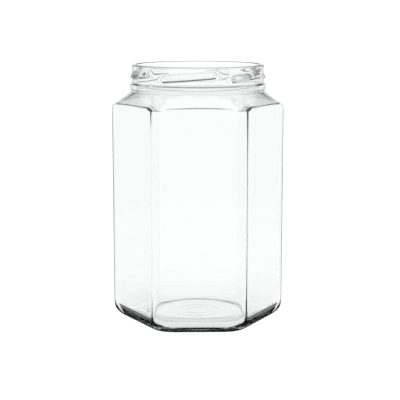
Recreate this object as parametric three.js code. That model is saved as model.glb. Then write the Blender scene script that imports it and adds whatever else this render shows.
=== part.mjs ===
// Hexagonal glass jar with a round lug-thread mouth, empty and without its lid.
// Millimetres, +Z up. The origin is the middle of the foot, and the front face looks along -Y.
// The jar is one skin of level rings: under the foot, up the outside, over the lip and down inside.

import * as THREE from 'three';
import { mergeVertices } from 'three/addons/utils/BufferGeometryUtils.js';

const { degToRad, radToDeg, lerp, clamp, smoothstep } = THREE.MathUtils;

// Driving dimensions
const HEIGHT = 154;
const ACROSS_FLATS = 90.4;
const CORNER_RADIUS = 6.6;
const INSIDE_CORNER_RADIUS = 3.4;
const INSIDE_CORNER_SOFTENING = 1.9;
const WALL = 2.4;
const MOUTH_DIAMETER = 78.2;
const NECK_DIAMETER = 79.6;
const BEAD_DIAMETER = 80.6;
const LUG_DIAMETER = 80.6;
const LUG_COUNT = 6;
const FACES = 6;

// Foot: a flat bearing ring round a shallow stepped push-up, under a wide rounded heel
const HEEL_INSET = 12.6;
const HEEL_HEIGHT = 9.4;
const FOOT_CORNER_RADIUS = 14.2;
const PUSH_UP_RADIUS = 31.4;
const PUSH_UP_EDGE = 5;
const PUSH_UP_HEIGHT = 1;
const FLOOR_HEIGHT = 4.6;
const FLOOR_CROWN = 0.4;
const INSIDE_HEEL_RADIUS = 7;

// Shoulder: the flat faces end at a sharp crease that is lower at the corners, and the six
// corners open out into the round neck
const CREASE_HEIGHT = 132;
const CREASE_RADIUS = 0.8;
const CREASE_ARCH = 1.2;
const SHOULDER_LEAN = degToRad(41);
const CORNER_FADE_START = 129.6;
const INSIDE_CORNER_FADE_START = 130.8;
const CORNER_FADE_END = 137;
const NECK_HEIGHT = 138;

// Finish, measured down from the top of the lip
const BEAD_TOP_DROP = 10.7;
const BEAD_EDGE_DROP = 11.6;
const BEAD_WIDEST_DROP = 12.6;
const BEAD_FOOT_DROP = 14.6;
const LUG_START_DROP = 9.5;
const LUG_RISE = 2.9;
const LUG_FLANK_HEIGHT = 1.05;
const LUG_BACK_HEIGHT = 3.7;
const LUG_FIRST_ANGLE = degToRad(-126.3);
const LUG_START_TAPER = 0.16;
const LUG_END_TAPER = 0.1;
const LIP_RADIUS = 0.9;

// Steps that the curves are drawn with
const FLAT_STEPS = 8;
const CORNER_STEPS = 5;
const PUSH_UP_STEPS = 4;
const HEEL_STEPS = 7;
const FADE_STEPS = 2;
const CREASE_STEPS = 2;
const SLOPE_STEPS = 3;
const NECK_STEPS = 4;
const BEAD_STEPS = 3;
const LUG_STEPS = 3;
const LIP_STEPS = 3;
const FLOOR_STEPS = 2;
const WALL_STEPS = 6;

// Reaches, from the axis
const OUTSIDE = ACROSS_FLATS / 2;
const INSIDE = OUTSIDE - WALL;
const MOUTH_OUTSIDE = MOUTH_DIAMETER / 2;
const MOUTH_INSIDE = MOUTH_OUTSIDE - WALL;
const NECK_OUTSIDE = NECK_DIAMETER / 2;
const BEAD_OUTSIDE = BEAD_DIAMETER / 2;
const LUG_OUTSIDE = LUG_DIAMETER / 2;

// Angles round the axis
const SECTORS = FACES * (FLAT_STEPS + CORNER_STEPS);
const FACE_ANGLE = 2 * Math.PI / FACES;
const HALF_FACE_ANGLE = FACE_ANGLE / 2;
const FRONT = -Math.PI / 2;
const FLAT_END = flatEnd(OUTSIDE, CORNER_RADIUS);
const FLAT_STEP = 2 * FLAT_END / FLAT_STEPS;
const LUG_PITCH = 2 * Math.PI / LUG_COUNT;
const LUG_SPAN = LUG_PITCH - FLAT_STEP;

// The lugged band is turned a little, so that a line of the skin meets each end of each lug
const LUG_BAND_TURN = LUG_FIRST_ANGLE - (FRONT - FACE_ANGLE + FLAT_END);
const ANGLE_ROUNDING = 1e-9;

const glass = new THREE.MeshStandardMaterial({
  color: 0xf4f8f7,
  roughness: 0.03,
  metalness: 0,
  transparent: true,
  opacity: 0.35,
});

// A ring of the skin: reach is its distance from the axis at the middle of a face, corner its
// corner radius, so that a ring whose corner radius equals its reach is round, and dip how much
// lower it is at a corner
function ring(reach, height, corner, dip = 0) {
  return { reach, height, corner: Math.min(corner, reach), dip };
}

function roundRing(radius, height) {
  return ring(radius, height, radius);
}

// The angle, from the middle of a face, at which its flat meets the rounded corner
function flatEnd(reach, corner) {
  return Math.atan((reach - corner) * Math.tan(HALF_FACE_ANGLE) / reach);
}

// Distance from the axis to a round-cornered hexagon, at an angle from the middle of a face
function hexagonRadius(angle, { reach, corner }) {
  if (reach === 0) {
    return 0;
  }
  if (Math.abs(angle) <= flatEnd(reach, corner)) {
    return reach / Math.cos(angle);
  }
  const cornerCentre = (reach - corner) / Math.cos(HALF_FACE_ANGLE);
  const fromCorner = HALF_FACE_ANGLE - Math.abs(angle);
  const across = cornerCentre * Math.sin(fromCorner);
  return cornerCentre * Math.cos(fromCorner) + Math.sqrt(corner * corner - across * across);
}

// Points of an arc, from one angle in degrees to another, without its first point
function arc(centre, radii, from, to, steps) {
  return Array.from({ length: steps }, (_, index) => {
    const angle = degToRad(from + (to - from) * (index + 1) / steps);
    return [centre[0] + radii[0] * Math.cos(angle), centre[1] + radii[1] * Math.sin(angle)];
  });
}

// The line of the shoulder over the middle of a face, from the top of the wall up to the neck
function shoulderLine(wallReach, neckReach, creaseHeight) {
  const leanDegrees = radToDeg(SHOULDER_LEAN);
  const halfLean = Math.tan(SHOULDER_LEAN / 2);
  const wallTop = creaseHeight - CREASE_RADIUS * halfLean;
  const creaseCentre = [wallReach - CREASE_RADIUS, wallTop];
  const crease = arc(creaseCentre, [CREASE_RADIUS, CREASE_RADIUS], 0, leanDegrees, CREASE_STEPS);
  const [slopeReach, slopeHeight] = crease[crease.length - 1];
  const slopeRise = (slopeReach - neckReach) / Math.tan(SHOULDER_LEAN);
  const fillet = (NECK_HEIGHT - slopeHeight - slopeRise) / halfLean;
  const filletCentre = [neckReach + fillet, NECK_HEIGHT];
  const neck = arc(filletCentre, [fillet, fillet], 180 + leanDegrees, 180, NECK_STEPS);
  const [slopeEnd] = arc(filletCentre, [fillet, fillet], 0, 180 + leanDegrees, 1);
  const slope = Array.from({ length: SLOPE_STEPS }, (_, index) => {
    const share = (index + 1) / SLOPE_STEPS;
    return [lerp(slopeReach, slopeEnd[0], share), lerp(slopeHeight, slopeEnd[1], share)];
  });
  return [[wallReach, wallTop], ...crease, ...slope, ...neck];
}

// Rings from the top of the straight corners to the neck, which the corners open out into
function shoulderRings(wallReach, neckReach, cornerRadius, fadeStart, lowered) {
  const line = shoulderLine(wallReach, neckReach, CREASE_HEIGHT - lowered);
  const straightEnd = fadeStart - lowered;
  const fadeLine = Array.from({ length: FADE_STEPS }, (_, index) => {
    return [wallReach, lerp(straightEnd, line[0][1], index / FADE_STEPS)];
  });
  return [...fadeLine, ...line].map(([reach, height]) => {
    const openness = clamp((height - straightEnd) / (CORNER_FADE_END - fadeStart), 0, 1);
    const dip = CREASE_ARCH * 4 * openness * (1 - openness);
    return ring(reach, height, lerp(cornerRadius, neckReach, openness), dip);
  });
}

// Rings of a rounded heel, from the foot's reach out to the wall
function heelRings(wallReach, footHeight, radii, cornerRadius) {
  const centre = [wallReach - radii[0], footHeight + radii[1]];
  return arc(centre, radii, -90, 0, HEEL_STEPS).map(([reach, height], index) => {
    return ring(reach, height, lerp(FOOT_CORNER_RADIUS, cornerRadius, (index + 1) / HEEL_STEPS));
  });
}

function footRings() {
  const panelRadius = PUSH_UP_RADIUS - PUSH_UP_EDGE;
  const pushUp = Array.from({ length: PUSH_UP_STEPS + 1 }, (_, index) => {
    const share = index / PUSH_UP_STEPS;
    return roundRing(panelRadius + PUSH_UP_EDGE * share, PUSH_UP_HEIGHT * (1 - smoothstep(share, 0, 1)));
  });
  const bearingEdge = ring(OUTSIDE - HEEL_INSET, 0, FOOT_CORNER_RADIUS);
  const heel = heelRings(OUTSIDE, 0, [HEEL_INSET, HEEL_HEIGHT], CORNER_RADIUS);
  return [roundRing(0, PUSH_UP_HEIGHT), ...pushUp, bearingEdge, ...heel];
}

function finishRings() {
  const widest = HEIGHT - BEAD_WIDEST_DROP;
  const beadFoot = HEIGHT - BEAD_FOOT_DROP;
  const lower = [BEAD_OUTSIDE - NECK_OUTSIDE, widest - beadFoot];
  const lipFoot = HEIGHT - LIP_RADIUS;
  const lipRadii = [LIP_RADIUS, LIP_RADIUS];
  const asRings = (points) => points.map(([radius, height]) => roundRing(radius, height));
  const shares = Array.from({ length: LUG_STEPS }, (_, index) => (index + 1) / LUG_STEPS);
  const lugBand = [[0, 0], ...shares.map((share) => [share, 0]), ...shares.map((share) => [1, share])];
  return [
    roundRing(NECK_OUTSIDE, beadFoot),
    ...asRings(arc([NECK_OUTSIDE, widest], lower, -90, 0, BEAD_STEPS)),
    roundRing(BEAD_OUTSIDE, HEIGHT - BEAD_EDGE_DROP),
    roundRing(MOUTH_OUTSIDE, HEIGHT - BEAD_TOP_DROP),
    ...lugBand.map(([upFlank, upBack]) => ({ ...roundRing(MOUTH_OUTSIDE, 0), lug: { upFlank, upBack } })),
    roundRing(MOUTH_OUTSIDE, lipFoot),
    ...asRings(arc([MOUTH_OUTSIDE - LIP_RADIUS, lipFoot], lipRadii, 0, 90, LIP_STEPS)),
    roundRing(MOUTH_INSIDE + LIP_RADIUS, HEIGHT),
    ...asRings(arc([MOUTH_INSIDE + LIP_RADIUS, lipFoot], lipRadii, 90, 180, LIP_STEPS)),
  ];
}

// The inside has sharper corners at its head and foot than halfway up
function insideRings() {
  const lowered = WALL * Math.tan(SHOULDER_LEAN / 2);
  const cornerRadius = INSIDE_CORNER_RADIUS;
  const fadeStart = INSIDE_CORNER_FADE_START;
  const shoulder = shoulderRings(INSIDE, MOUTH_INSIDE, cornerRadius, fadeStart, lowered);
  const heelRadii = [INSIDE_HEEL_RADIUS, INSIDE_HEEL_RADIUS];
  const heel = heelRings(INSIDE, FLOOR_HEIGHT, heelRadii, cornerRadius);
  const floorReach = INSIDE - INSIDE_HEEL_RADIUS;
  const floor = Array.from({ length: FLOOR_STEPS + 1 }, (_, index) => {
    const share = index / FLOOR_STEPS;
    return ring(floorReach * share, FLOOR_HEIGHT + FLOOR_CROWN * (1 - share ** 2), FOOT_CORNER_RADIUS);
  });
  const wallFoot = FLOOR_HEIGHT + INSIDE_HEEL_RADIUS;
  const wallHead = fadeStart - lowered;
  const wall = Array.from({ length: WALL_STEPS - 1 }, (_, index) => {
    const share = (index + 1) / WALL_STEPS;
    const softening = INSIDE_CORNER_SOFTENING * (1 - (2 * share - 1) ** 4);
    return ring(INSIDE, lerp(wallFoot, wallHead, share), cornerRadius + softening);
  });
  return [...floor, ...heel, ...wall, ...shoulder].reverse();
}

// A place on the lugged band of the mouth, whose rings climb the steep lower flank of the lugs
// and then their long back. Each lug climbs along its length and is thinned at both ends, and
// the band drops in the gaps.
function lugPoint(angle, { upFlank, upBack }) {
  const turns = (angle - LUG_FIRST_ANGLE) / LUG_PITCH + ANGLE_ROUNDING;
  const along = (turns - Math.floor(turns)) * LUG_PITCH / LUG_SPAN;
  const gapShare = Math.max(0, along - 1) / (LUG_PITCH / LUG_SPAN - 1);
  const nearEnd = Math.min(along / LUG_START_TAPER, (1 - along) / LUG_END_TAPER);
  const bulge = smoothstep(nearEnd, 0, 1) * upFlank * (1 - upBack);
  const climb = LUG_RISE * Math.min(along, 1) * (1 - gapShare);
  const above = climb + LUG_FLANK_HEIGHT * upFlank + LUG_BACK_HEIGHT * upBack;
  return {
    angle,
    radius: lerp(MOUTH_OUTSIDE, LUG_OUTSIDE, bulge),
    height: HEIGHT - LUG_START_DROP + above,
  };
}

// Where a ring passes a line of the skin, which is a face and an angle from its middle
function skinPoint(skinRing, face, fromFace) {
  const angle = FRONT + FACE_ANGLE * face + fromFace;
  if (skinRing.lug) {
    return lugPoint(angle + LUG_BAND_TURN, skinRing.lug);
  }
  const height = skinRing.height - skinRing.dip * (fromFace / HALF_FACE_ANGLE) ** 2;
  return { angle, radius: hexagonRadius(fromFace, skinRing), height };
}

// Angles of the skin's lines over one face and the corner after it, from the face's middle
function faceAngles() {
  const flat = Array.from({ length: FLAT_STEPS }, (_, step) => FLAT_STEP * step - FLAT_END);
  const cornerStep = 2 * (HALF_FACE_ANGLE - FLAT_END) / CORNER_STEPS;
  const corner = Array.from({ length: CORNER_STEPS }, (_, step) => FLAT_END + cornerStep * step);
  return [...flat, ...corner];
}

// The same surface with its seam and its two poles welded
function welded(geometry) {
  geometry.deleteAttribute('normal');
  geometry.deleteAttribute('uv');
  const merged = mergeVertices(geometry);
  const corners = Array.from(merged.index.array);
  const triangles = [];
  for (let first = 0; first < corners.length; first += 3) {
    const [a, b, c] = corners.slice(first, first + 3);
    if (a !== b && b !== c && c !== a) {
      triangles.push(a, b, c);
    }
  }
  merged.setIndex(triangles);
  merged.computeVertexNormals();
  return merged;
}

// A lathe-turned skin whose rings are then pushed out to their hexagons and lugs
function skin(rings) {
  const profile = rings.map(({ reach, height }) => new THREE.Vector2(reach, height));
  const geometry = new THREE.LatheGeometry(profile, SECTORS);
  const positions = geometry.attributes.position;
  const angles = faceAngles();
  for (let index = 0; index < positions.count; index += 1) {
    const sector = Math.floor(index / rings.length) % SECTORS;
    const face = Math.floor(sector / angles.length);
    const place = skinPoint(rings[index % rings.length], face, angles[sector % angles.length]);
    const x = place.radius * Math.cos(place.angle);
    const y = place.radius * Math.sin(place.angle);
    positions.setXYZ(index, x, y, place.height);
  }
  return welded(geometry);
}

const outsideShoulder = shoulderRings(
  OUTSIDE,
  NECK_OUTSIDE,
  CORNER_RADIUS,
  CORNER_FADE_START,
  0,
);
const jar = new THREE.Mesh(
  skin([...footRings(), ...outsideShoulder, ...finishRings(), ...insideRings()]),
  glass,
);
jar.name = 'glass_jar';

const group = new THREE.Group();
group.add(jar);

export default group;
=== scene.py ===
"""An empty hexagonal glass jar with a round lug-thread mouth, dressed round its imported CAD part.

The jar is one skin of glass. It starts as a six-sided tube, is drawn down round the foot, then up
over the shoulder and the mouth and down the inside, ring by ring, and is smoothed at the end.
Sizes are in metres, and angles in radians unless a name or comment says degrees.
"""

import math

import bmesh
import bpy
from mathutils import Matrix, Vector


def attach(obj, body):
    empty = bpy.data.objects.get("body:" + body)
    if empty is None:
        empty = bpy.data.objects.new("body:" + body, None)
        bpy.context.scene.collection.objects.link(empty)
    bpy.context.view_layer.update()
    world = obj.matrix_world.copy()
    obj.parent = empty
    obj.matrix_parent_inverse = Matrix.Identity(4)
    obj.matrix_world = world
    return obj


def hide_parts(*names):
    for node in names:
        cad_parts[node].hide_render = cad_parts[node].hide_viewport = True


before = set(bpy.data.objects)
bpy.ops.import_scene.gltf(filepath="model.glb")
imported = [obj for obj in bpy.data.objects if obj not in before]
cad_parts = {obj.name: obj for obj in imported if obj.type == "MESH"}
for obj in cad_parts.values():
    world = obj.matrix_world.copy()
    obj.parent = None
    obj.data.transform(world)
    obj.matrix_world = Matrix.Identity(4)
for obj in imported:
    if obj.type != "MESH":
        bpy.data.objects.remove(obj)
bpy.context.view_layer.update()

MM = 0.001
TO_DEGREES = 180 / math.pi

# Driving sizes, as in the CAD part
HEIGHT = 154 * MM
OUTSIDE = 45.2 * MM
CORNER = 6.6 * MM
INSIDE_CORNER = 3.4 * MM
WALL = 2.4 * MM
MOUTH = 39.1 * MM
NECK = 39.8 * MM
BEAD = 40.3 * MM
LUG = 40.3 * MM
INSIDE = OUTSIDE - WALL
BORE = MOUTH - WALL

# How much rounder the inside corners are halfway up, a little less than in the CAD part
INSIDE_CORNER_SOFTENING = 1.3 * MM

# The six faces, of which one looks along -Y
FACES = 6
HALF_FACE = math.pi / FACES
FRONT = -math.pi / 2

# Heel, foot and floor
HEEL_INSET = 12.6 * MM
HEEL_HEIGHT = 9.4 * MM
FOOT_CORNER = 14.2 * MM
PUSH_UP_RADIUS = 31.4 * MM
PUSH_UP_EDGE = 5 * MM
PUSH_UP_HEIGHT = 1 * MM
FLOOR_HEIGHT = 4.6 * MM
FLOOR_CROWN = 0.4 * MM
INSIDE_HEEL = 7 * MM

# Shoulder: the faces end at a crease, and the corners open out into the round neck
CREASE_HEIGHT = 132 * MM
CREASE_RADIUS = 0.8 * MM
CREASE_ARCH = 1.2 * MM
SHOULDER_LEAN = math.radians(41)
FADE_START = 129.6 * MM
INSIDE_FADE_START = 130.8 * MM
FADE_END = 137 * MM
NECK_HEIGHT = 138 * MM
INSIDE_LOWERED = WALL * math.tan(SHOULDER_LEAN / 2)

# Bead, lugs and lip
BEAD_FOOT = HEIGHT - 14.6 * MM
BEAD_WIDEST = HEIGHT - 12.6 * MM
BEAD_SHELF = HEIGHT - 11.6 * MM
BEAD_TOP = HEIGHT - 10.7 * MM
BEAD_ROOT = 0.3 * MM
LUG_START = HEIGHT - 9.5 * MM
LUG_RISE = 2.9 * MM
LUG_FLANK = 1.05 * MM
LUG_BACK = 3.7 * MM
LUG_PITCH = 2 * HALF_FACE
LUG_FIRST = math.radians(-126.3)
LUG_GAP = math.radians(6.55)
LUG_SPAN = LUG_PITCH - LUG_GAP
LUG_START_TAPER = 0.16
LUG_END_TAPER = 0.1
LUG_SOFTNESS = 0.3
LIP_RADIUS = 0.9 * MM

# How many steps each stretch of the skin is drawn in
FLAT_STEPS = 20
CORNER_STEPS = 6
TUBE_STEPS = 8
HEEL_STEPS = 9
PUSH_UP_STEPS = 6
FADE_STEPS = 5
CREASE_STEPS = 5
SLOPE_STEPS = 4
NECK_STEPS = 6
BEAD_STEPS = 4
LIP_STEPS = 5
INSIDE_WALL_STEPS = 10

# One side of the grids that close the foot and the floor, in steps
GRID_SPAN = 24

# Where rings lie that aren't evenly spaced, as shares of their stretch
BEAD_TOP_RINGS = (0.15, 0.85, 1)
LUG_FLANK_RINGS = (0, 0.1, 0.3, 0.5, 0.7, 0.9, 1)
LUG_BACK_RINGS = (0.05, 0.2, 0.4, 0.6, 0.8, 0.95, 1)
PUSH_UP_RINGS = (0.8, 0.6)
FLOOR_RINGS = (0.92, 0.8, 0.65)

# How edges are told apart: by their steepness, their length and how near they are to a rim
UPRIGHT = 0.9
LEVEL = 0.1
MOST_OF_FLAT = 0.9
RIM_TOLERANCE = 0.1 * MM

# Glass. A pair says where a change starts and where it ends
REFRACTION = 1.52
WAVE_SCALE = 28.0
WAVE_HEIGHT = 0.004 * MM
BASE_RINGS = (6.5 * MM, 13 * MM)
BASE_RING_HEIGHT = 0.022 * MM
BASE_RING_WIDTH = 0.8 * MM
UNDERSIDE = (3 * MM, 1.5 * MM)
HAZE_SCALE = 60.0
HAZE_RANGE = (0.55, 0.9)
HAZE_ROUGHNESS = 0.02
CLEAR = (1, 1, 1, 1)
COOL_TINT = (0.985, 0.995, 0.99, 1)
# Painted shade: the glass's colour turns dark grey where its surface is seen edge-on, above the
# foot
PAINTED_EDGE_SHADE = (0.2, 0.22, 0.21, 1)
EDGE_SHADE_FACING = (0.6, 0.92)
EDGE_SHADE_HEIGHTS = (8 * MM, 20 * MM)
DEPTH_TINT = (0.33, 0.35, 0.34, 1)
DEPTH_DENSITY = 48.0

# Light: a bright band between two elevations in degrees, dark outside it, and light from above
LIGHT = 1.14
DARK = 0.04
BAND_BOTTOM = (-22.5, -19.5)
BAND_TOP = (16, 18.5)
OVERHEAD = (26, 40)
OVERHEAD_LIGHT = 1.3
WHITE = (1, 1, 1, 1)
BOUNCES = 32

# Floors: a pale one that the camera sees, and a light table that only shows through the glass.
# Behind the jar the table is partly open: painted shade, a darker ring where the dark surround
# shows through, from a distance to the axis to a further one, and on both sides of straight
# behind up to an angle in degrees, each fading over its pair of values
FLOOR_RADIUS = 3
FLOOR_SIDES = 96
PALE_FLOOR_HEIGHT = -0.4 * MM
LIGHT_TABLE_HEIGHT = -0.2 * MM
TABLE_SHADE_OPENING = 0.68
SHADE_RING_START = (0.1, 0.13)
SHADE_RING_END = (0.36, 0.44)
SHADE_RING_SIDES = (35, 60)

# Camera
LENS = 105.2
SENSOR_WIDTH = 36
CAMERA_DISTANCE = 694.4 * MM
CAMERA_TURN = math.radians(1.05)
CAMERA_HEIGHT = 190.5 * MM
CAMERA_AIM = Vector((1.24 * MM, 0, 72.4 * MM))


def mix(start, end, share):
    return start + (end - start) * share


def smooth(share):
    """A share from 0 to 1 that starts and ends gently."""
    return share * share * (3 - 2 * share)


def steps(count):
    """Even shares of a stretch, from just after its start to its end."""
    return [(index + 1) / count for index in range(count)]


def arc(centre, radii, start, end, count):
    """Points of an arc, from one angle in degrees to another, without its first point."""
    angles = [math.radians(mix(start, end, share)) for share in steps(count)]
    return [
        (centre[0] + radii[0] * math.cos(angle), centre[1] + radii[1] * math.sin(angle))
        for angle in angles
    ]


def flat_end(reach, corner):
    """The angle, from the middle of a face, at which its flat meets the rounded corner."""
    return math.atan((reach - corner) * math.tan(HALF_FACE) / reach)


def hexagon_radius(angle, reach, corner):
    """Distance from the axis to a round-cornered hexagon, at an angle from a face's middle."""
    if abs(angle) <= flat_end(reach, corner):
        return reach / math.cos(angle)
    centre = (reach - corner) / math.cos(HALF_FACE)
    from_corner = HALF_FACE - abs(angle)
    across = centre * math.sin(from_corner)
    return centre * math.cos(from_corner) + math.sqrt(corner ** 2 - across ** 2)


def hexagon_ring(reach, height, corner, dip=0):
    """A ring of the skin, as a function that gives its point at any angle round the axis.

    Its corners are rounded, and lower than its faces by the dip. It is a circle where the corner
    radius equals the reach.
    """
    corner = min(corner, reach)

    def place(angle):
        from_face = (angle - FRONT + HALF_FACE) % (2 * HALF_FACE) - HALF_FACE
        radius = hexagon_radius(from_face, reach, corner)
        lowered = dip * (from_face / HALF_FACE) ** 2
        return radius * math.cos(angle), radius * math.sin(angle), height - lowered

    return place


def round_ring(radius, height):
    return hexagon_ring(radius, height, radius)


def soften(share):
    return mix(share, smooth(share), LUG_SOFTNESS)


def lug_ring(up_flank, up_back):
    """A ring along the lugs, which climb as they go round and thin out at both ends."""
    profile = soften(up_flank) * soften(1 - up_back)

    def place(angle):
        along = (angle - LUG_FIRST) % LUG_PITCH / LUG_SPAN
        gap_share = max(along - 1, 0) / (LUG_PITCH / LUG_SPAN - 1)
        near_end = min(along / LUG_START_TAPER, (1 - along) / LUG_END_TAPER, 1)
        bulge = smooth(max(near_end, 0)) * profile
        climb = LUG_RISE * min(along, 1) * (1 - smooth(gap_share))
        height = LUG_START + climb + LUG_FLANK * up_flank + LUG_BACK * up_back
        radius = mix(MOUTH, LUG, bulge)
        return radius * math.cos(angle), radius * math.sin(angle), height

    return place


def shoulder_rings(wall_reach, neck_reach, corner, fade_start, lowered):
    """Rings from the top of the straight corners to the neck, whose corners open on the way."""
    lean = math.degrees(SHOULDER_LEAN)
    half_lean = math.tan(SHOULDER_LEAN / 2)
    wall_top = CREASE_HEIGHT - lowered - CREASE_RADIUS * half_lean
    crease_centre = (wall_reach - CREASE_RADIUS, wall_top)
    crease = arc(crease_centre, (CREASE_RADIUS,) * 2, 0, lean, CREASE_STEPS)
    slope_reach, slope_height = crease[-1]
    slope_rise = (slope_reach - neck_reach) / math.tan(SHOULDER_LEAN)
    fillet = (NECK_HEIGHT - slope_height - slope_rise) / half_lean
    neck_centre = (neck_reach + fillet, NECK_HEIGHT)
    slope_end = arc(neck_centre, (fillet,) * 2, 0, 180 + lean, 1)[0]

    straight_end = fade_start - lowered
    opening = FADE_END - fade_start
    line = [(wall_reach, mix(straight_end, wall_top, share)) for share in steps(FADE_STEPS)]
    line += crease
    line += [
        (mix(slope_reach, slope_end[0], share), mix(slope_height, slope_end[1], share))
        for share in steps(SLOPE_STEPS)
    ]
    line += arc(neck_centre, (fillet,) * 2, 180 + lean, 180, NECK_STEPS)

    rings = []
    for reach, height in line:
        opened = min(max((height - straight_end) / opening, 0), 1)
        dip = CREASE_ARCH * 4 * opened * (1 - opened)
        rings.append(hexagon_ring(reach, height, mix(corner, neck_reach, opened), dip))
    return rings


def heel_rings(wall_reach, foot_height, radii, corner):
    """Rings of a rounded heel, from the wall down to the foot, whose corners open on the way."""
    centre = (wall_reach - radii[0], foot_height + radii[1])
    line = arc(centre, radii, 0, -90, HEEL_STEPS)
    return [
        hexagon_ring(reach, height, mix(corner, FOOT_CORNER, share))
        for (reach, height), share in zip(line, steps(HEEL_STEPS))
    ]


def bead_rings():
    line = [(NECK, BEAD_FOOT)]
    line += arc((NECK, BEAD_WIDEST), (BEAD - NECK, BEAD_WIDEST - BEAD_FOOT), -90, 0, BEAD_STEPS)
    line += [(BEAD, BEAD_SHELF)]
    line += [
        (mix(BEAD, MOUTH, share), mix(BEAD_SHELF, BEAD_TOP, share)) for share in BEAD_TOP_RINGS
    ]
    line += [(MOUTH, BEAD_TOP + BEAD_ROOT)]
    return [round_ring(*point) for point in line]


def lug_rings():
    flanks = [lug_ring(share, 0) for share in LUG_FLANK_RINGS]
    backs = [lug_ring(1, share) for share in LUG_BACK_RINGS]
    return flanks + backs


def lip_rings():
    foot = HEIGHT - LIP_RADIUS
    line = [(MOUTH, foot)]
    line += arc((MOUTH - LIP_RADIUS, foot), (LIP_RADIUS,) * 2, 0, 90, LIP_STEPS)
    line += arc((BORE + LIP_RADIUS, foot), (LIP_RADIUS,) * 2, 90, 180, LIP_STEPS)
    return [round_ring(*point) for point in line]


def inside_wall_rings():
    """Rings down the inside of the wall, whose corners are roundest halfway."""
    top = INSIDE_FADE_START - INSIDE_LOWERED
    foot = FLOOR_HEIGHT + INSIDE_HEEL
    rings = []
    for share in [0] + steps(INSIDE_WALL_STEPS):
        softened = INSIDE_CORNER_SOFTENING * (1 - (2 * share - 1) ** 4)
        rings.append(hexagon_ring(INSIDE, mix(top, foot, share), INSIDE_CORNER + softened))
    return rings


def floor_rings():
    """Rings of the crowned floor inside, which grow rounder towards its middle."""
    reach = INSIDE - INSIDE_HEEL
    return [
        hexagon_ring(reach * share, FLOOR_HEIGHT + FLOOR_CROWN * (1 - share ** 2),
                     mix(FOOT_CORNER, reach, 1 - share))
        for share in FLOOR_RINGS
    ]


def pick_edges(wanted):
    """Selects, in edit mode, just the edges that are wanted."""
    mesh = bmesh.from_edit_mesh(bpy.context.object.data)
    bpy.ops.mesh.select_all(action="DESELECT")
    for edge in mesh.edges:
        if wanted(edge):
            edge.select_set(True)
    mesh.select_flush_mode()
    bmesh.update_edit_mesh(bpy.context.object.data)


def steepness(edge):
    """How much of an edge's length is rise: 1 where it is upright, 0 where it is level."""
    return abs((edge.verts[1].co - edge.verts[0].co).normalized().z)


def pick_upright():
    pick_edges(lambda edge: steepness(edge) > UPRIGHT)


def pick_flats():
    """Selects the level edges that are as long as the flat of a face."""
    shortest = MOST_OF_FLAT * 2 * (OUTSIDE - CORNER) * math.tan(HALF_FACE)
    pick_edges(lambda edge: steepness(edge) < LEVEL and edge.calc_length() > shortest)


def pick_rim(height):
    """Selects the open edges of the rim at this height."""
    def on_rim(edge):
        middle = (edge.verts[0].co + edge.verts[1].co) / 2
        return edge.is_boundary and abs(middle.z - height) < RIM_TOLERANCE

    pick_edges(on_rim)


def draw_out(rings):
    """Extrudes the selected rim once for each ring, and sets the new rim out on it."""
    for place in rings:
        bpy.ops.mesh.extrude_region_move(TRANSFORM_OT_translate={"value": (0, 0, 0)})
        mesh = bmesh.from_edit_mesh(bpy.context.object.data)
        for vertex in mesh.verts:
            if vertex.select:
                vertex.co = place(math.atan2(vertex.co.y, vertex.co.x))
        bmesh.update_edit_mesh(bpy.context.object.data)


def start_tube():
    """A six-sided tube from the heel to the shoulder, cut finely and left in edit mode."""
    bpy.ops.object.select_all(action="DESELECT")
    bpy.ops.mesh.primitive_cylinder_add(
        vertices=FACES,
        radius=OUTSIDE / math.cos(HALF_FACE),
        depth=FADE_START - HEEL_HEIGHT,
        end_fill_type="NOTHING",
        location=(0, 0, (FADE_START + HEEL_HEIGHT) / 2),
        rotation=(0, 0, HALF_FACE),
    )
    bpy.ops.object.transform_apply(location=True, rotation=True, scale=True)
    bpy.ops.object.mode_set(mode="EDIT")
    bpy.ops.mesh.select_mode(type="EDGE")
    pick_upright()
    bpy.ops.mesh.bevel(
        offset=CORNER * math.tan(HALF_FACE), segments=CORNER_STEPS, affect="EDGES"
    )
    pick_flats()
    bpy.ops.mesh.subdivide(number_cuts=FLAT_STEPS - 1)
    pick_upright()
    bpy.ops.mesh.subdivide(number_cuts=TUBE_STEPS - 1)
    return bpy.context.object


def draw_foot():
    """Draws the heel, the ring that the jar stands on and the push-up, and closes it."""
    pick_rim(HEEL_HEIGHT)
    draw_out(heel_rings(OUTSIDE, 0, (HEEL_INSET, HEEL_HEIGHT), CORNER))
    draw_out(
        round_ring(PUSH_UP_RADIUS - PUSH_UP_EDGE * share, PUSH_UP_HEIGHT * smooth(share))
        for share in [0] + steps(PUSH_UP_STEPS)
    )
    panel = PUSH_UP_RADIUS - PUSH_UP_EDGE
    draw_out(round_ring(panel * share, PUSH_UP_HEIGHT) for share in PUSH_UP_RINGS)
    bpy.ops.mesh.fill_grid(span=GRID_SPAN)


def draw_outside():
    """Draws the shoulder, the bead, the lugs and the lip."""
    pick_rim(FADE_START)
    draw_out(shoulder_rings(OUTSIDE, NECK, CORNER, FADE_START, 0))
    draw_out(bead_rings() + lug_rings() + lip_rings())


def draw_inside():
    """Draws on from the lip: the bore, the shoulder, wall and heel inside, and the floor."""
    shoulder = shoulder_rings(INSIDE, BORE, INSIDE_CORNER, INSIDE_FADE_START, INSIDE_LOWERED)
    draw_out(reversed(shoulder))
    draw_out(inside_wall_rings())
    draw_out(heel_rings(INSIDE, FLOOR_HEIGHT, (INSIDE_HEEL,) * 2, INSIDE_CORNER))
    draw_out(floor_rings())
    bpy.ops.mesh.fill_grid(span=GRID_SPAN)


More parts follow.
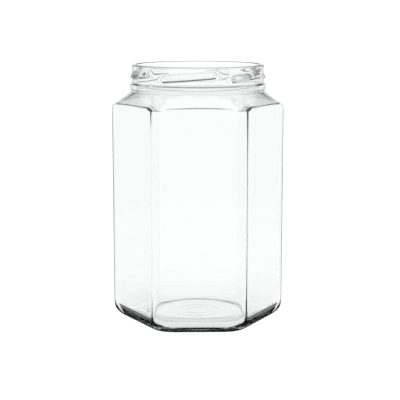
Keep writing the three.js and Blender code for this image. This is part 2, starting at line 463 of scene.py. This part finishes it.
def make_jar():
    """The whole skin, outside and inside, as one smooth mesh."""
    jar = start_tube()
    jar.name = jar.data.name = "glass_jar_fine"
    draw_foot()
    draw_outside()
    draw_inside()
    bpy.ops.mesh.select_all(action="SELECT")
    bpy.ops.mesh.normals_make_consistent(inside=False)
    bpy.ops.object.mode_set(mode="OBJECT")
    smoothing = jar.modifiers.new("smoothing", "SUBSURF")
    smoothing.levels = smoothing.render_levels = 1
    bpy.ops.object.modifier_apply(modifier="smoothing")
    bpy.ops.object.shade_smooth()
    return jar


class Wire:
    """One output of a shader node, so that shader maths reads as plain arithmetic."""

    def __init__(self, tree, socket=None):
        self.tree = tree
        self.socket = socket

    def node(self, kind, inputs, output=0, **settings):
        """Adds a node of any type: its settings first, then its values or links by socket."""
        added = self.tree.nodes.new(kind)
        for name, value in settings.items():
            setattr(added, name, value)
        for key, value in inputs.items():
            if isinstance(value, Wire):
                value.feed(added, key)
            else:
                added.inputs[key].default_value = value
        return Wire(self.tree, added.outputs[output])

    def feed(self, node, key):
        self.tree.links.new(self.socket, node.inputs[key])

    def math(self, operation, *values):
        return self.node("ShaderNodeMath", dict(enumerate(values)), operation=operation)

    def ramp(self, start, end, low=0.0, high=1.0):
        """Rises or falls smoothly from low to high while this value goes from start to end."""
        inputs = {"Value": self, "From Min": start, "From Max": end, "To Min": low, "To Max": high}
        return self.node("ShaderNodeMapRange", inputs, interpolation_type="SMOOTHSTEP")

    def colour(self, first, second):
        """A colour that goes from the first to the second as this value goes from 0 to 1."""
        inputs = {0: self, 6: first, 7: second}
        return self.node("ShaderNodeMix", inputs, 2, data_type="RGBA")

    def __add__(self, other):
        return self.math("ADD", self, other)

    def __radd__(self, other):
        return self.math("ADD", other, self)

    def __sub__(self, other):
        return self.math("SUBTRACT", self, other)

    def __rsub__(self, other):
        return self.math("SUBTRACT", other, self)

    def __mul__(self, other):
        return self.math("MULTIPLY", self, other)

    def __rmul__(self, other):
        return self.math("MULTIPLY", other, self)

    def __abs__(self):
        return self.math("ABSOLUTE", self)


def coordinates(tree, output):
    """One output of a Texture Coordinate node, followed by its three coordinates."""
    place = Wire(tree).node("ShaderNodeTexCoord", {}, output)
    parts = [place.node("ShaderNodeSeparateXYZ", {"Vector": place}, axis) for axis in "XYZ"]
    return place, *parts


def distance_from_axis(x, y):
    return x.math("SQRT", x * x + y * y)


def noise(place, scale, detail):
    return place.node("ShaderNodeTexNoise", {"Vector": place, "Scale": scale, "Detail": detail})


def make_glass():
    """Clear polished glass with painted shade on its edges, dark in its thick parts, wavy as blown
    glass is.
    """
    glass = bpy.data.materials.new("clear_jar_glass")
    glass.use_nodes = True
    tree = glass.node_tree
    shader = tree.nodes["Principled BSDF"]
    shader.inputs["IOR"].default_value = REFRACTION
    shader.inputs["Transmission Weight"].default_value = 1
    place, x, y, z = coordinates(tree, "Object")

    from_axis = distance_from_axis(x, y)
    rings = 0
    for radius in BASE_RINGS:
        rings = rings + abs(from_axis - radius).ramp(0, BASE_RING_WIDTH, 1, 0)
    waves = noise(place, WAVE_SCALE, 1.0)
    height = waves * WAVE_HEIGHT + rings * z.ramp(*UNDERSIDE) * BASE_RING_HEIGHT
    relief = {"Height": height, "Distance": 1.0, "Strength": 1.0}
    height.node("ShaderNodeBump", relief).feed(shader, "Normal")

    haze = noise(place, HAZE_SCALE, 3.0)
    (haze.ramp(*HAZE_RANGE) * HAZE_ROUGHNESS).feed(shader, "Roughness")
    tint = haze.colour(CLEAR, COOL_TINT)
    # Painted shade: the colour darkens where the glass is seen edge-on, fading out towards the
    # foot
    grazing = place.node("ShaderNodeLayerWeight", {"Blend": 0.5}, "Facing")
    edge = grazing.ramp(*EDGE_SHADE_FACING) * z.ramp(*EDGE_SHADE_HEIGHTS)
    edge.colour(tint, PAINTED_EDGE_SHADE).feed(shader, "Base Color")

    absorption = {"Color": DEPTH_TINT, "Density": DEPTH_DENSITY}
    depth = place.node("ShaderNodeVolumeAbsorption", absorption)
    depth.feed(tree.nodes["Material Output"], "Volume")
    return glass


def make_surround():
    """A soft white band of light all round the jar, dark above and below it as glass is lit."""
    world = bpy.data.worlds.new("soft_studio")
    bpy.context.scene.world = world
    world.use_nodes = True
    tree = world.node_tree
    *_, z = coordinates(tree, "Generated")
    elevation = z.math("ARCSINE", z) * TO_DEGREES
    band = elevation.ramp(*BAND_BOTTOM) * elevation.ramp(*BAND_TOP, 1, 0) * LIGHT
    overhead = elevation.ramp(*OVERHEAD) * OVERHEAD_LIGHT
    background = tree.nodes["Background"]
    background.inputs["Color"].default_value = WHITE
    (DARK + band + overhead).feed(background, "Strength")


def make_glow(name, opening):
    """A white glow for a floor, with painted shade where part of a ring behind the jar is
    see-through.
    """
    white = bpy.data.materials.new(name)
    white.use_nodes = True
    tree = white.node_tree
    tree.nodes.remove(tree.nodes["Principled BSDF"])
    place, x, y, _ = coordinates(tree, "Object")
    from_axis = distance_from_axis(x, y)
    from_behind = abs(x.math("ARCTAN2", x, y)) * TO_DEGREES
    ring = from_axis.ramp(*SHADE_RING_START) * from_axis.ramp(*SHADE_RING_END, 1, 0)
    # Painted shade: here the glow is partly see-through, so the table shows a darker ring behind
    # the jar
    shade_share = ring * from_behind.ramp(*SHADE_RING_SIDES, 1, 0) * opening
    glow = place.node("ShaderNodeEmission", {"Strength": LIGHT})
    clear = place.node("ShaderNodeBsdfTransparent", {})
    partly = place.node("ShaderNodeMixShader", {0: shade_share, 1: glow, 2: clear})
    partly.feed(tree.nodes["Material Output"], "Surface")
    return white


def make_floor(name, height, opening):
    """A wide round floor that glows as a light table does, and isn't reflected in the glass."""
    bpy.ops.object.select_all(action="DESELECT")
    bpy.ops.mesh.primitive_circle_add(
        vertices=FLOOR_SIDES, radius=FLOOR_RADIUS, fill_type="NGON", location=(0, 0, height)
    )
    bpy.ops.object.transform_apply(location=True)
    floor = bpy.context.object
    floor.name = floor.data.name = name
    floor.data.materials.append(make_glow(name + "_white", opening))
    floor.visible_glossy = floor.visible_diffuse = floor.visible_shadow = False
    return floor


def make_stage():
    scene = bpy.context.scene
    scene.view_settings.view_transform = "Standard"
    scene.cycles.max_bounces = BOUNCES
    scene.cycles.transmission_bounces = BOUNCES
    scene.cycles.glossy_bounces = BOUNCES
    scene.cycles.use_denoising = True
    make_surround()
    make_floor("pale_floor", PALE_FLOOR_HEIGHT, 0).visible_transmission = False
    make_floor("light_table", LIGHT_TABLE_HEIGHT, TABLE_SHADE_OPENING).visible_camera = False


def make_camera():
    data = bpy.data.cameras.new("camera")
    data.lens = LENS
    data.sensor_width = SENSOR_WIDTH
    camera = bpy.data.objects.new("camera", data)
    bpy.context.scene.collection.objects.link(camera)
    left = CAMERA_DISTANCE * math.sin(CAMERA_TURN)
    front = CAMERA_DISTANCE * math.cos(CAMERA_TURN)
    camera.location = (-left, -front, CAMERA_HEIGHT)
    camera.rotation_euler = (CAMERA_AIM - camera.location).to_track_quat("-Z", "Y").to_euler()
    bpy.context.scene.camera = camera


jar = make_jar()
jar.data.materials.append(make_glass())
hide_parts("glass_jar")
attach(jar, "root")
make_stage()
make_camera()
